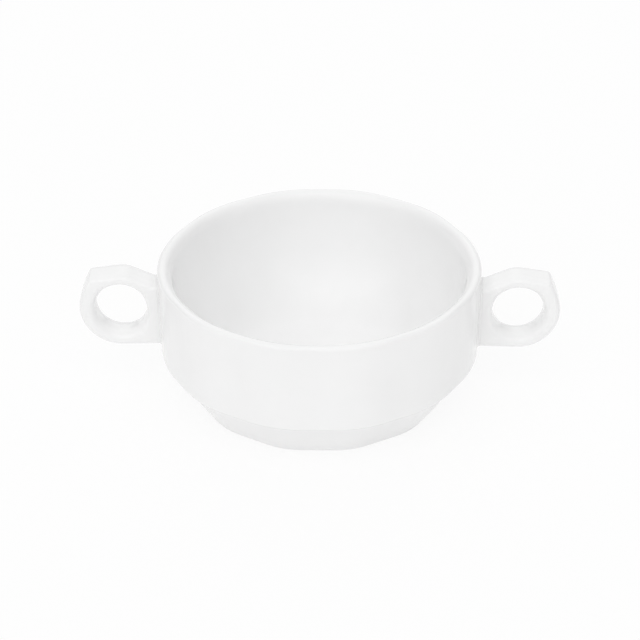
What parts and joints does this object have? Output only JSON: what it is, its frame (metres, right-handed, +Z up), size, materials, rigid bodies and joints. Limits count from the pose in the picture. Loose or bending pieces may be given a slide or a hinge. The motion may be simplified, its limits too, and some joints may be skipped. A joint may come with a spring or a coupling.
{
  "type": "stackable soup cup",
  "caption": "Faceted white porcelain soup cup with a ring handle on each side, a round smooth inside, and a stepped base that nests in the rim of the cup below.",
  "frame": {"origin": "middle of the foot ring, on the surface that the cup stands on", "axes": "+X through the middle of the right handle, +Z up through the rim, and the picture looks along +Y"},
  "size_m": [0.1636, 0.108, 0.0473],
  "materials": {
    "glazed_porcelain": "high gloss clear glaze over white porcelain, bare on the foot ring",
    "glazed_slip": "joining slip under the same clear glaze"
  },
  "bodies": {
    "root": {"cup_body": "glazed_porcelain", "handle_right": "glazed_porcelain", "handle_left": "glazed_porcelain", "slip_joint_right": "glazed_slip", "slip_joint_left": "glazed_slip"}
  },
  "joints": []
}
